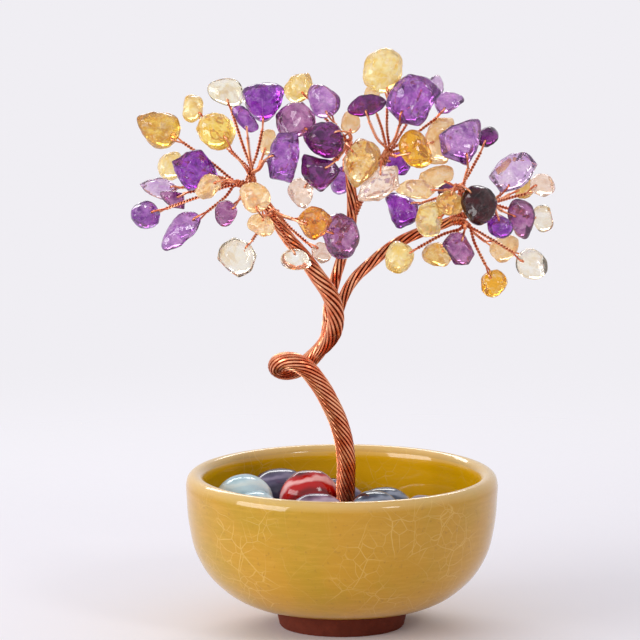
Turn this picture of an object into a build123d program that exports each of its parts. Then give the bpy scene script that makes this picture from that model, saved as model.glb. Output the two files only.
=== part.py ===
from build123d import *
import os
from math import atan2, cos, pi, radians, sin, sqrt

# A gemstone tree: a rope of copper wire with one pigtail loop stands in a glazed bowl of pebbles,
# divides into three limbs, and carries drilled amethyst and citrine chips on two-wire twigs.
# Lengths are in millimetres. +X is to the right, +Y away from the viewer, +Z up.
# The origin is the centre of the foot's underside.

# Bowl
bowl_diameter = 84.6
bowl_height = 42.0
bowl_wall = 4.8
bowl_floor = 9.0
inner_floor_diameter = 20.0
foot_diameter = 36.2
foot_height = 5.4
foot_taper = 0.8
foot_ring_width = 4.4
foot_recess = 1.2
foot_edge = 0.4
outer_belly_shares = ((0.60, 0.16), (0.80, 0.285), (0.925, 0.455), (0.978, 0.64))
inner_belly_shares = ((0.587, 0.062), (0.843, 0.248), (0.965, 0.555))
bowl_sides = 60
wall_steps = 8
lip_steps = 6
bed_steps = 4

# Cast bed that holds the foot of the trunk
bed_top = 26.5
bed_gap = 0.6
root_depth = 13.0
root_gap = 0.12

# Pebbles are picked to fill the room inside the bowl, so their places and sizes are shares of that room.
# Each: across, back, size, then width and height as shares of its length, then degrees turned
pebble_seat = 0.2
pebble_sides = 8
pebble_level_shares = (0.0, 0.28, 0.68, 1.0)
pebble_girth_shares = (0.60, 1.0, 0.93, 0.46)
pebble_size_shares = {"small": 0.344, "medium": 0.427, "large": 0.468}
pebble_shares = {
    "opal_pale": (-0.715, 0.150, "large", 0.84, 0.84, 84),
    "agate_grey": (-0.475, 0.590, "large", 0.80, 0.90, 42),
    "carnelian_banded": (-0.285, 0.095, "medium", 0.82, 0.90, 8),
    "agate_lilac": (-0.215, -0.285, "medium", 0.80, 0.86, -12),
    "opal_milky": (-0.630, -0.235, "medium", 0.72, 0.86, 56),
    "jasper_grey": (-0.600, -0.575, "small", 0.86, 0.92, -42),
    "agate_smoke": (-0.035, 0.510, "medium", 0.76, 0.78, -8),
    "quartz_grey": (-0.100, 0.815, "medium", 0.62, 0.70, 6),
    "agate_blue": (0.300, 0.185, "medium", 0.80, 0.76, 28),
    "agate_sand": (0.330, 0.640, "medium", 0.74, 0.58, -26),
    "slate_banded": (0.250, -0.260, "medium", 0.78, 0.80, -38),
    "jasper_small": (0.590, -0.020, "small", 0.84, 0.84, 70),
    "quartz_lilac": (0.610, -0.400, "medium", 0.80, 0.72, -50),
    "quartz_rose": (0.850, 0.000, "small", 0.60, 0.74, 88),
    "agate_cloud": (0.670, 0.395, "medium", 0.76, 0.56, 52),
    "opal_small": (-0.180, -0.760, "medium", 0.74, 0.76, 4),
    "jasper_red": (0.280, -0.730, "medium", 0.78, 0.72, 14),
}

# Copper wire, trunk and limbs
wire_diameter = 0.4
twig_diameter = 0.8
trunk_diameter = 5.2
lay_length = 38.0
trunk_strands = 10
limb_strands = 6
groove_share = 0.15
crown_share = 0.36
ring_pitch = 2.8
fork_gap = 0.3
limb_gap = 0.4

# Chips
drill_width = 0.9
drill_edge = 0.12
wire_standoff = 1.0
wire_reach = 1.6
leg_spread = 0.35
leg_back = 0.55
chip_sides = 6
chip_level_shares = (-0.5, -0.13, 0.13, 0.5)
chip_girth_shares = (0.60, 1.0, 0.97, 0.62)
chip_thickness_share = 0.60
chip_squareness = 2.4
roll_degrees = 16
pitch_degrees = 12

# No two stones are alike: how much they vary, and how fast that changes from one to the next
wobble_share = 0.08
drift_share = 0.05
pebble_step = 1.9
pebble_corner_step = 2.3
chip_step = 1.7
chip_corner_step = 2.4
roll_step = 2.1
pitch_step = 1.3
bow_step = 1.9

# The tree is laid out on the photograph: a pixel is worth the tree's rise over its rise in pixels
tree_rise = 121.0
tree_rise_pixels = 448
axis_pixel = 342
bed_pixel = 529.5
view_rise_degrees = 10.4
crown_half_depth = 24.0
pixel_size = tree_rise / tree_rise_pixels

# Routes: pixel across, pixel down, depth as a share of the crown's half depth
trunk_pixels = (
    (346, 516, 0.00), (346, 485, 0.00), (346, 458, 0.00), (341, 430, -0.01), (330, 403, -0.05),
    (316, 380, -0.08), (301, 364, -0.10), (284, 356, -0.06), (272.5, 364, 0.06), (280, 374, 0.19),
    (296, 371, 0.23), (312, 358, 0.21), (326, 339, 0.15), (334, 318, 0.08), (338, 300, 0.02),
)
limb_pixels = {
    "left_limb": (
        (322, 277, -0.15), (306, 255, -0.15), (290, 236, -0.13), (273, 213, -0.12), (260, 197, -0.10),
        (250, 187, -0.09),
    ),
    "centre_limb": (
        (344, 273, 0.16), (350, 248, 0.18), (353, 224, 0.16), (352, 200, 0.13), (350, 176, 0.09),
        (350, 152, 0.05),
    ),
    "right_limb": (
        (361, 281, 0.02), (378, 265, 0.04), (396, 249, 0.04), (412, 238, 0.02), (436, 227, -0.02),
        (457, 219, -0.05),
    ),
}
# Each limb takes its sector of the trunk's wires: middle and width in degrees, 0 to the right, 90 to the back
limb_sector_degrees = {"left_limb": (255, 150), "centre_limb": (128, 105), "right_limb": (22, 105)}
limb_diameters = {"left_limb": (3.8, 2.4), "centre_limb": (3.0, 2.1), "right_limb": (3.1, 2.8)}
limb_rounding_share = 0.22
spline_pull = 1.0

# Each spray: its limb, where its stem leaves that limb (share of its length, degrees round it), the
# stem's points, and its chips.
# A chip: centre across, centre down, length, width (pixels), lean in degrees, depth share
sprays = {
    "left_side": {
        "limb": "left_limb", "leaves": (1, 180),
        "stem": ((240, 184, -0.14),),
        "citrine": (
            (159, 130, 46, 34, -18, 0.02), (171, 165, 30, 26, 60, 0.56), (209, 188, 28, 20, 40, -0.52),
        ),
        "amethyst": (
            (196, 171, 38, 32, -52, -0.24), (158, 188, 40, 18, -12, 0.22), (172, 199, 30, 14, -20, -0.12),
            (145, 216, 31, 28, -10, -0.44), (180, 232, 56, 25, 45, -0.30),
        ),
    },
    "left_top": {
        "limb": "left_limb", "leaves": (1, 0),
        "stem": ((252, 177, -0.02),),
        "citrine": (
            (226, 92, 46, 26, -14, 0.34), (217, 131, 40, 34, -40, -0.22), (194, 109, 30, 20, 80, 0.10),
            (268, 142, 28, 17, 84, 0.52),
        ),
        "amethyst": (
            (264, 101, 46, 38, 35, -0.06), (246, 121, 42, 15, -50, -0.40), (284, 157, 45, 27, 82, -0.46),
            (226, 215, 28, 21, 78, -0.46),
        ),
    },
    "left_inner": {
        "limb": "left_limb", "leaves": (0.66, 270),
        "stem": ((274, 213, -0.32),),
        "citrine": (
            (255, 197, 34, 28, -60, -0.80), (262, 226, 30, 20, -28, -0.56), (239, 257, 34, 30, -60, -0.20),
            (315, 225, 33, 31, 10, -0.84), (296, 260, 34, 20, -6, -0.42), (322, 253, 24, 17, -55, -0.16),
        ),
        "amethyst": ((341, 236, 48, 34, -75, -0.46),),
    },
    "centre_left": {
        "limb": "centre_limb", "leaves": (1, 180),
        "stem": ((349, 145, 0.07),),
        "citrine": (
            (299, 88, 32, 25, 65, 0.46), (302, 194, 32, 24, -60, -0.16), (351, 122, 26, 18, 75, 0.44),
            (362, 164, 48, 32, 78, -0.34),
        ),
        "amethyst": (
            (322, 100, 40, 28, -55, 0.10), (295, 122, 37, 32, 15, -0.10), (325, 140, 40, 34, -20, -0.42),
            (316, 172, 42, 28, -38, -0.50), (342, 180, 30, 22, 60, 0.50),
        ),
    },
    "centre_right": {
        "limb": "centre_limb", "leaves": (0.6, 0),
        "stem": ((365, 190, 0.12), (377, 171, 0.10), (386, 155, 0.08)),
        "citrine": (
            (382, 71, 48, 38, 70, -0.04), (372, 97, 26, 16, 80, 0.46), (414, 152, 38, 28, -60, -0.40),
            (439, 141, 44, 26, 70, 0.14), (380, 186, 46, 24, 40, -0.64),
        ),
        "amethyst": (
            (365, 107, 46, 20, 14, -0.34), (411, 99, 48, 38, 55, -0.24), (436, 86, 24, 16, 70, 0.52),
            (449, 102, 34, 18, 12, 0.20), (398, 163, 30, 22, -30, 0.44),
        ),
    },
    "right_top": {
        "limb": "right_limb", "leaves": (1, 150),
        "stem": ((460, 206, 0.04), (461, 191, 0.05)),
        "citrine": (
            (437, 177, 46, 20, 8, 0.10), (416, 190, 46, 18, -6, -0.34), (449, 204, 26, 24, 20, -0.48),
            (428, 221, 40, 26, 86, -0.33),
        ),
        "amethyst": (
            (463, 140, 52, 32, 50, -0.10), (487, 137, 24, 19, 25, 0.30), (446, 190, 18, 14, 0, 0.34),
            (479, 205, 42, 34, -75, -0.60), (401, 207, 38, 26, -55, 0.36),
        ),
    },
    "right_far": {
        "limb": "right_limb", "leaves": (1, 30),
        "stem": ((474, 211, 0.05), (490, 204, 0.08)),
        "citrine": (
            (525, 187, 22, 18, 40, 0.56), (544, 184, 26, 22, -10, 0.26), (542, 219, 29, 20, -80, 0.20),
        ),
        "amethyst": (
            (499, 227, 27, 22, -20, -0.30), (521, 219, 44, 25, -78, -0.08), (514, 171, 44, 30, 38, -0.02),
        ),
    },
    "right_low": {
        "limb": "right_limb", "leaves": (1, 270),
        "stem": ((464, 223, -0.15),),
        "citrine": (
            (504, 248, 32, 24, 38, 0.16), (532, 265, 35, 29, -35, -0.12), (494, 283, 28, 26, 60, -0.20),
            (437, 254, 30, 24, -10, -0.12), (400, 258, 34, 27, 82, -0.30),
        ),
        "amethyst": ((458, 249, 32, 22, -60, -0.44),),
    },
}
stem_diameters = (1.1, 0.9)
stem_sides = 6
wire_sides = 4
stem_seat = 0.25
twig_bow_share = 0.05


# Seen from the front, a place lower in the picture is lower down or nearer the viewer
def seen(across, down, depth_share):
    depth = depth_share * crown_half_depth
    rise = radians(view_rise_degrees)
    height = ((bed_pixel - down) * pixel_size - depth * sin(rise)) / cos(rise)
    return Vector((across - axis_pixel) * pixel_size, depth, bed_top + height)


# A solid with flat three-cornered facets between rings that have as many points each
def faceted(rings):
    count = len(rings[0])
    facets = [Face(Wire.make_polygon(list(reversed(rings[0])), close=True))]
    for low, high in zip(rings, rings[1:]):
        for spot in range(count):
            after = (spot + 1) % count
            facets.append(Face(Wire.make_polygon([low[spot], low[after], high[after]], close=True)))
            facets.append(Face(Wire.make_polygon([low[spot], high[after], high[spot]], close=True)))
    facets.append(Face(Wire.make_polygon(rings[-1], close=True)))
    return Solid(Shell(facets))


# Planes along a path that turn with it and never spin about it
def carried_planes(places, directions):
    across = Vector(0, 1, 0).cross(directions[0])
    planes = []
    for place, direction in zip(places, directions):
        across = (across - direction * across.dot(direction)).normalized()
        planes.append(Plane(origin=place, x_dir=across, z_dir=direction))
    return planes


# A few-sided rod through points, with a diameter at each
def rod(points, diameters, sides):
    directions = []
    for number in range(len(points)):
        before = points[max(number - 1, 0)]
        after = points[min(number + 1, len(points) - 1)]
        directions.append((after - before).normalized())
    rings = []
    turns = [2 * pi * side / sides for side in range(sides)]
    for plane, diameter in zip(carried_planes(points, directions), diameters):
        ring = [Vector(cos(turn), sin(turn)) * (diameter / 2) for turn in turns]
        rings.append([plane.from_local_coords(point) for point in ring])
    return faceted(rings)


# A rope laid up left-handed: each strand is a blunt crown between two grooves
def rope(route, strands, reach_at):
    length = route.length
    count = round(length / ring_pitch)
    shares = [step / count for step in range(count + 1)]
    directions = [(route % share).normalized() for share in shares]
    planes = carried_planes([route @ share for share in shares], directions)
    rings = []
    half_crown = crown_share * pi / strands
    for share, plane in zip(shares, planes):
        lay = -2 * pi * share * length / lay_length
        ring = []
        for strand in range(strands):
            middle = lay + 2 * pi * strand / strands
            for turn, height in ((-half_crown, 1), (half_crown, 1), (pi / strands, 1 - groove_share)):
                angle = middle + turn
                reach = reach_at(share, angle) * height
                ring.append(Vector(reach * cos(angle), reach * sin(angle)))
        rings.append([plane.from_local_coords(point) for point in ring])
    return faceted(rings)


# Places along a line of a profile, without its first
def stepped(line, steps):
    return [line @ (step / steps) for step in range(1, steps + 1)]


# A turned solid: a profile, given as points (radius, height), carried round in narrow flat facets
def turned(profile):
    turns = [2 * pi * side / bowl_sides for side in range(bowl_sides)]
    return faceted([[Vector(point.X * cos(turn), point.X * sin(turn), point.Y) for turn in turns]
                    for point in profile])


# The bowl's inner profile, from the edge of its flat floor up to where the lip begins
def bowl_inner_line():
    inner_radius = bowl_diameter / 2 - bowl_wall
    room = bowl_height - bowl_floor - bowl_wall / 2
    start = (inner_floor_diameter / 2, bowl_floor)
    belly = [(inner_radius * across, bowl_floor + room * up) for across, up in inner_belly_shares]
    return Spline([start] + belly + [(inner_radius, bowl_height - bowl_wall / 2)], tangents=[(1, 0), (0, 1)])


# Bowl: a foot ring, a full belly, a thick rounded lip and a flat floor
def make_bowl():
    radius = bowl_diameter / 2
    foot_radius = foot_diameter / 2
    lip = bowl_wall / 2
    ring_inside = foot_radius - foot_taper - foot_ring_width
    foot = Polyline((ring_inside - foot_recess, foot_recess), (ring_inside, 0),
                    (foot_radius - foot_taper - foot_edge, 0), (foot_radius - foot_taper, foot_edge),
                    (foot_radius, foot_height))
    belly = [(radius * across, bowl_height * up) for across, up in outer_belly_shares]
    outer = Spline([foot @ 1] + belly + [(radius, bowl_height - lip)], tangents=[(1, 0), (0, 1)])
    top = ThreePointArc(outer @ 1, (radius - lip, bowl_height), (radius - bowl_wall, bowl_height - lip))
    inner = list(reversed([bowl_inner_line() @ 0] + stepped(bowl_inner_line(), wall_steps)))
    corners = [vertex.center() for vertex in foot.vertices()]
    return turned(corners + stepped(outer, wall_steps) + stepped(top, lip_steps) + inner[1:])


# Room inside the bowl at a height, read off the inner profile
def inner_radius_at(height):
    points = [bowl_inner_line() @ 0] + stepped(bowl_inner_line(), wall_steps)
    for low, high in zip(points, points[1:]):
        if low.Y <= height <= high.Y:
            share = (height - low.Y) / (high.Y - low.Y)
            return low.X + (high.X - low.X) * share
    return points[-1].X


# Bed: cast plaster that stands on the bowl's flat floor, with a socket for the foot of the trunk
def make_bed():
    root = trunk_route() @ 0
    levels = [bowl_floor + (bed_top - bowl_floor) * step / bed_steps for step in range(bed_steps + 1)]
    bed = turned([Vector(inner_radius_at(level) - bed_gap, level) for level in levels])
    from_top = (Align.CENTER, Align.CENTER, Align.MAX)
    socket = Cylinder(trunk_diameter / 2 + root_gap, root_depth, align=from_top)
    return (bed - Location((root.X, root.Y, bed_top)) * socket).solid()


# Pebble: a tumbled stone, rounder above than below, set down on the bed
def make_pebble(number, across_share, back_share, size, width_share, height_share, turn):
    room = inner_radius_at(bed_top)
    length = room * pebble_size_shares[size]
    width = length * width_share
    height = length * height_share
    place = Plane(origin=(across_share * room, back_share * room, bed_top + pebble_seat),
                  x_dir=(cos(radians(turn)), sin(radians(turn)), 0), z_dir=(0, 0, 1))
    rings = []
    for level, girth in zip(pebble_level_shares, pebble_girth_shares):
        ring = []
        for side in range(pebble_sides):
            angle = 2 * pi * side / pebble_sides
            swell = 1 - wobble_share * (1 + sin(pebble_corner_step * side + pebble_step * number)) / 2
            drift = drift_share * level * sin(number)
            across = length / 2 * (girth * swell * cos(angle) + drift)
            back = width / 2 * girth * swell * sin(angle)
            ring.append(place.from_local_coords(Vector(across, back, height * level)))
        rings.append(ring)
    return faceted(rings)


# Trunk: one rope from its foot in the bed, round the pigtail loop and up to the fork
def trunk_route():
    first = seen(*trunk_pixels[0])
    foot = Vector(first.X, first.Y, bed_top - root_depth)
    middle = Vector(first.X, first.Y, (first.Z + foot.Z) / 2)
    return Spline([foot, middle] + [seen(*pixel) for pixel in trunk_pixels])


def make_trunk():
    return rope(trunk_route(), trunk_strands, lambda share, angle: trunk_diameter / 2)


# Right, back and forward directions across the end of a route
def end_directions(route, share):
    along = (route % share).normalized()
    right = Vector(0, 1, 0).cross(along).normalized()
    return right, along.cross(right).normalized(), along


# How far a sector's middle lies from the trunk's own middle
def sector_offset(name):
    half = radians(limb_sector_degrees[name][1]) / 2
    return trunk_diameter / 3 * sin(half) / half


# From a sector's middle to its edge: the trunk's round, or half the gap to the sector beside it
def sector_reach(name, angle):
    middle, width = [radians(turn) for turn in limb_sector_degrees[name]]
    offset = sector_offset(name)
    inward = offset * cos(angle - middle)
    reach = sqrt(inward ** 2 - offset ** 2 + (trunk_diameter / 2) ** 2) - inward
    for side in (1, -1):
        edge = middle + side * width / 2
        slope = side * sin(angle - edge)
        if slope > 0:
            room = offset * sin(width / 2) - limb_gap / 2
            reach = min(reach, room / slope)
    return reach


# A limb starts on the trunk's end as a sector of it, turns round and thins towards its tip
def limb_route(name):
    trunk = trunk_route()
    right, back, along = end_directions(trunk, 1)
    middle = radians(limb_sector_degrees[name][0])
    start = trunk @ 1 + along * fork_gap + (right * cos(middle) + back * sin(middle)) * sector_offset(name)
    points = [start, start + along * (trunk_diameter / 2)] + [seen(*pixel) for pixel in limb_pixels[name]]
    ends = [along, points[-1] - points[-2]]
    return Spline(points, tangents=ends, tangent_scalars=[spline_pull, spline_pull])


def make_limb(name):
    def reach_at(share, angle):
        rounding = min(1, share / limb_rounding_share)
        return sector_reach(name, angle) * (1 - rounding) + limb_radius(name, share) * rounding

    return rope(limb_route(name), limb_strands, reach_at)


def limb_radius(name, share):
    first, last = limb_diameters[name]
    return (first + (last - first) * share) / 2


# A spray's stem starts on the limb's end face, or beside the limb where it leaves part way up
def stem_points(spray):
    name = spray["limb"]
    share, turn = spray["leaves"]
    route = limb_route(name)
    right, back, along = end_directions(route, share)
    outward = right * cos(radians(turn)) + back * sin(radians(turn))
    if share == 1:
        root = route @ 1 + along * stem_seat + outward * (limb_radius(name, 1) - stem_diameters[0] / 2)
    else:
        root = route @ share + outward * (limb_radius(name, share) + stem_diameters[0] / 2 + stem_seat)
    return [root, root + along * stem_diameters[0]] + [seen(*pixel) for pixel in spray["stem"]]


# The chip's own plane faces the viewer, leans in the picture and rolls a little about its length
def chip_plane(number, chip):
    across, down, length, width, lean, depth = chip
    rise = radians(view_rise_degrees)
    up = Vector(0, sin(rise), cos(rise))
    near = Vector(0, -cos(rise), sin(rise))
    long_way = Vector(1, 0, 0) * cos(radians(lean)) + up * sin(radians(lean))
    roll = radians(roll_degrees * sin(roll_step * number + 1))
    pitch = radians(pitch_degrees * sin(pitch_step * number))
    face = near * cos(roll) + long_way.cross(near) * sin(roll)
    return Plane(origin=seen(across, down, depth), x_dir=long_way, z_dir=face + long_way * sin(pitch))


# Outline of a chip, with one corner turned to the hub that its wire comes from
def chip_outline(number, chip, plane, hub):
    length = chip[2] * pixel_size
    width = chip[3] * pixel_size
    towards = plane.to_local_coords(hub)
    start = atan2(towards.Y, towards.X)
    power = chip_squareness
    corners = []
    for side in range(chip_sides):
        angle = start + 2 * pi * side / chip_sides
        reach = (abs(cos(angle) * 2 / length) ** power + abs(sin(angle) * 2 / width) ** power) ** (-1 / power)
        if side:
            reach *= 1 + wobble_share * sin(chip_corner_step * side + chip_step * number)
        corners.append(Vector(reach * cos(angle), reach * sin(angle)))
    return corners


def chip_thickness(chip):
    return min(chip[2], chip[3]) * pixel_size * chip_thickness_share


# Chip: a tumbled stone with worn edges, drilled through near the corner that faces the hub
def make_chip(number, chip, hub):
    plane = chip_plane(number, chip)
    corners = chip_outline(number, chip, plane, hub)
    thickness = chip_thickness(chip)
    rings = []
    for level, girth in zip(chip_level_shares, chip_girth_shares):
        high = Vector(0, 0, thickness * level)
        rings.append([plane.from_local_coords(corner * girth + high) for corner in corners])
    reach, drill = drill_place(corners[0])
    across = corners[0].normalized()
    drill_plane = Plane(origin=plane.from_local_coords(across * drill),
                        x_dir=plane.from_local_coords(across) - plane.origin, z_dir=plane.z_dir)
    hole = drill_plane * Box(drill_width, drill_width, 2 * thickness)
    return (faceted(rings) - hole).solid()


# How far the drilled corner and the hole lie from the chip's centre
def drill_place(corner):
    reach = corner.length
    shoulder = reach * min(chip_girth_shares[0], chip_girth_shares[-1])
    return reach, shoulder - drill_width / 2 - drill_edge


# Wire of one chip: a twisted pair from the hub, then one leg through the hole and back to the twist
def chip_wire(number, chip, hub):
    plane = chip_plane(number, chip)
    corner = chip_outline(number, chip, plane, hub)[0]
    reach, drill = drill_place(corner)
    across = corner.normalized()
    high = chip_thickness(chip) / 2 + wire_standoff
    twist = reach + wire_reach
    twist_end = plane.from_local_coords(across * twist)
    bow = Vector(0, 0, 1).cross(twist_end - hub) * (twig_bow_share * sin(bow_step * number))
    twig = [hub, (hub + twist_end) / 2 + bow, twist_end]
    leg_places = ((drill, high), (drill, -high), (twist - leg_back, -leg_spread))
    leg = [plane.from_local_coords(across * out + Vector(0, 0, up)) for out, up in leg_places]
    return rod(twig + leg, [twig_diameter] * len(twig) + [wire_diameter] * len(leg), wire_sides)


# Spray: the wires of its chips, twisted into one stem at the hub, and the chips in two groups
def make_spray(name, spray):
    points = stem_points(spray)
    hub = points[-1]
    first, last = stem_diameters
    taper = [first + (last - first) * spot / (len(points) - 1) for spot in range(len(points))]
    wires = [rod(points, taper, stem_sides)]
    stones = {"amethyst": [], "citrine": []}
    number = len(name)
    for kind in stones:
        for chip in spray[kind]:
            number += 1
            wires.append(chip_wire(number, chip, hub))
            stones[kind].append(make_chip(number, chip, hub))
    return wires[0].fuse(*wires[1:]), stones


def main():
    os.makedirs("parts", exist_ok=True)
    nodes = {"bowl": make_bowl(), "bed": make_bed(), "trunk": make_trunk()}
    for number, (name, place) in enumerate(pebble_shares.items()):
        nodes["pebble_" + name] = make_pebble(number, *place)
    for name in limb_pixels:
        nodes[name] = make_limb(name)
    for name, spray in sprays.items():
        wires, stones = make_spray(name, spray)
        nodes[name + "_wires"] = wires
        for kind, group in stones.items():
            nodes[name + "_" + kind] = Compound(children=group)
    for name, shape in nodes.items():
        export_step(shape, "parts/" + name + ".step")
    return nodes


if __name__ == "__main__":
    main()
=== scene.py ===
import bmesh
import bpy
import math
import random
from mathutils import Matrix, Vector


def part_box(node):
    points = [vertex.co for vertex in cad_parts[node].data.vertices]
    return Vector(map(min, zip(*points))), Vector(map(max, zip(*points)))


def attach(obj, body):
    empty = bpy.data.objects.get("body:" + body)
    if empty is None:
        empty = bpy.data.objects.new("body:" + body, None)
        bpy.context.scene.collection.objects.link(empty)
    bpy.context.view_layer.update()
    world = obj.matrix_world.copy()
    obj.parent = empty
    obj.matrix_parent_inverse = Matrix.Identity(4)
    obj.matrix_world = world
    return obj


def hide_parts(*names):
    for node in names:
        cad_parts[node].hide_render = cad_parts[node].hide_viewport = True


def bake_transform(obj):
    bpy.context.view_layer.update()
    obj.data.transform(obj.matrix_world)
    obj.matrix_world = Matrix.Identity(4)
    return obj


# Dresses the gemstone tree: laid copper rope, twisted twigs, tumbled chips, polished pebbles and a glazed bowl.
# Lengths are in metres, +X right, +Y away from the camera, +Z up.
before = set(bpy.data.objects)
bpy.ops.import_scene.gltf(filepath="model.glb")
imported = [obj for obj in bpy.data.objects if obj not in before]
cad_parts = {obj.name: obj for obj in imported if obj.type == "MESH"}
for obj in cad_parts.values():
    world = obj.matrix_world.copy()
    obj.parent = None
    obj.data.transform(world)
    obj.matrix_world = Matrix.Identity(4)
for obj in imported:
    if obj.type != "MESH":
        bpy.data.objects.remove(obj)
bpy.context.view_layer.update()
mm = 0.001

# The tree is laid out on the photograph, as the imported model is
layout = {"treeRise": 0.121, "treeRisePixels": 448, "axisPixel": 342, "bedPixel": 529.5, "bedTop": 0.0265,
          "viewRise": 10.4, "crownHalfDepth": 0.024}
pixel = layout["treeRise"] / layout["treeRisePixels"]


def seen(across, down, depthShare):
    depth = depthShare * layout["crownHalfDepth"]
    rise = math.radians(layout["viewRise"])
    height = ((layout["bedPixel"] - down) * pixel - depth * math.sin(rise)) / math.cos(rise)
    return Vector(((across - layout["axisPixel"]) * pixel, depth, layout["bedTop"] + height))


def deselectAll():
    if bpy.context.object and bpy.context.object.mode != "OBJECT":
        bpy.ops.object.mode_set(mode="OBJECT")
    bpy.ops.object.select_all(action="DESELECT")


def activate(piece):
    deselectAll()
    piece.select_set(True)
    bpy.context.view_layer.objects.active = piece


def applyModifiers(piece):
    activate(piece)
    for modifier in list(piece.modifiers):
        bpy.ops.object.modifier_apply(modifier=modifier.name)


def joinPieces(pieces, name):
    deselectAll()
    for piece in pieces:
        piece.select_set(True)
    bpy.context.view_layer.objects.active = pieces[0]
    if len(pieces) > 1:
        bpy.ops.object.join()
    pieces[0].name = name
    pieces[0].data.name = name
    return pieces[0]


# Materials

def srgb(red, green, blue):
    linear = [(c / 255 / 12.92) if c <= 10 else ((c / 255 + 0.055) / 1.055) ** 2.4 for c in (red, green, blue)]
    return (*linear, 1)


# Links another node's socket to a socket, or sets a plain value on it
def feed(tree, socket, value):
    if isinstance(value, bpy.types.NodeSocket):
        tree.links.new(value, socket)
    else:
        socket.default_value = value


def addNode(tree, kind, settings=None, sockets=None):
    node = tree.nodes.new("ShaderNode" + kind)
    for key, value in (settings or {}).items():
        setattr(node, key, value)
    for key, value in (sockets or {}).items():
        feed(tree, node.inputs[key], value)
    return node


def addRamp(tree, factor, stops):
    node = addNode(tree, "ValToRGB", sockets={"Fac": factor})
    ramp = node.color_ramp
    while len(ramp.elements) < len(stops):
        ramp.elements.new(0.5)
    for element, (place, colour) in zip(ramp.elements, stops):
        element.position = place
        element.color = colour
    return node.outputs["Color"]


# A ramp of greys, used as a mask
def addFade(tree, factor, *stops):
    return addRamp(tree, factor, [(place, (grey, grey, grey, 1)) for place, grey in stops])


def addMix(tree, factor, first, second):
    return addNode(tree, "Mix", {"data_type": "RGBA"}, {0: factor, 6: first, 7: second}).outputs[2]


def addMath(tree, operation, first, second):
    return addNode(tree, "Math", {"operation": operation}, {0: first, 1: second}).outputs[0]


# Carries a value from one range over to another
def addSpan(tree, value, start=0.0, end=1.0, low=0.0, high=1.0, kind="LINEAR"):
    node = addNode(tree, "MapRange", {"interpolation_type": kind},
                   {"Value": value, "From Min": start, "From Max": end, "To Min": low, "To Max": high})
    return node.outputs[0]


def addNoise(tree, vector, scale, detail=3.0, roughness=0.5, distortion=0.0):
    node = addNode(tree, "TexNoise", sockets={"Vector": vector, "Scale": scale, "Detail": detail,
                                              "Roughness": roughness, "Distortion": distortion})
    return node.outputs["Fac"]


def newMaterial(name):
    material = bpy.data.materials.new(name)
    material.use_nodes = True
    tree = material.node_tree
    tree.nodes.clear()
    shader = addNode(tree, "BsdfPrincipled")
    addNode(tree, "OutputMaterial", sockets={"Surface": shader.outputs["BSDF"]})
    place = addNode(tree, "TexCoord").outputs["Object"]
    return material, tree, shader, place


def wire(tree, shader, links):
    for key, value in links.items():
        feed(tree, shader.inputs[key], value)


# Fine mottling used by the clay, the plaster and the stones: a mask and a bumped normal
def mottleGroup():
    group = bpy.data.node_groups.new("mottle", "ShaderNodeTree")
    group.interface.new_socket("Place", in_out="INPUT", socket_type="NodeSocketVector")
    group.interface.new_socket("Grain", in_out="INPUT", socket_type="NodeSocketFloat")
    group.interface.new_socket("Depth", in_out="INPUT", socket_type="NodeSocketFloat")
    group.interface.new_socket("Mask", in_out="OUTPUT", socket_type="NodeSocketFloat")
    group.interface.new_socket("Normal", in_out="OUTPUT", socket_type="NodeSocketVector")
    start = group.nodes.new("NodeGroupInput")
    end = group.nodes.new("NodeGroupOutput")
    coarse = addNoise(group, start.outputs["Place"], start.outputs["Grain"], 5.0, 0.6)
    bump = addNode(group, "Bump", sockets={"Height": coarse, "Distance": start.outputs["Depth"], "Strength": 1.0})
    group.links.new(coarse, end.inputs["Mask"])
    group.links.new(bump.outputs["Normal"], end.inputs["Normal"])
    return group


mottle = mottleGroup()


def addMottle(tree, place, grain, depth):
    node = addNode(tree, "Group", {"node_tree": mottle}, {"Place": place, "Grain": grain, "Depth": depth})
    return node.outputs["Mask"], node.outputs["Normal"]


# Studio
studio = {"distance": 2.5, "sensor": 36.0, "framePixels": 640, "aimPixel": 320,
          "background": srgb(240, 238, 243), "ambient": 0.66,
          "floorColour": srgb(242, 240, 245), "floorHalf": 0.7, "floorFades": (0.10, 0.40),
          "clipEnd": 20, "lampsAim": (0, 0, 0.07),
          "lamps": {"windowLeft": {"place": (-0.68, -0.37, 0.24), "size": (0.60, 0.34), "watts": 3.7},
                    "topBack": {"place": (-0.12, 0.60, 0.48), "size": (0.66, 0.14), "watts": 2.0},
                    "frontRight": {"place": (0.50, -0.62, 0.52), "size": (0.18, 0.18), "watts": 1.0}}}


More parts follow.
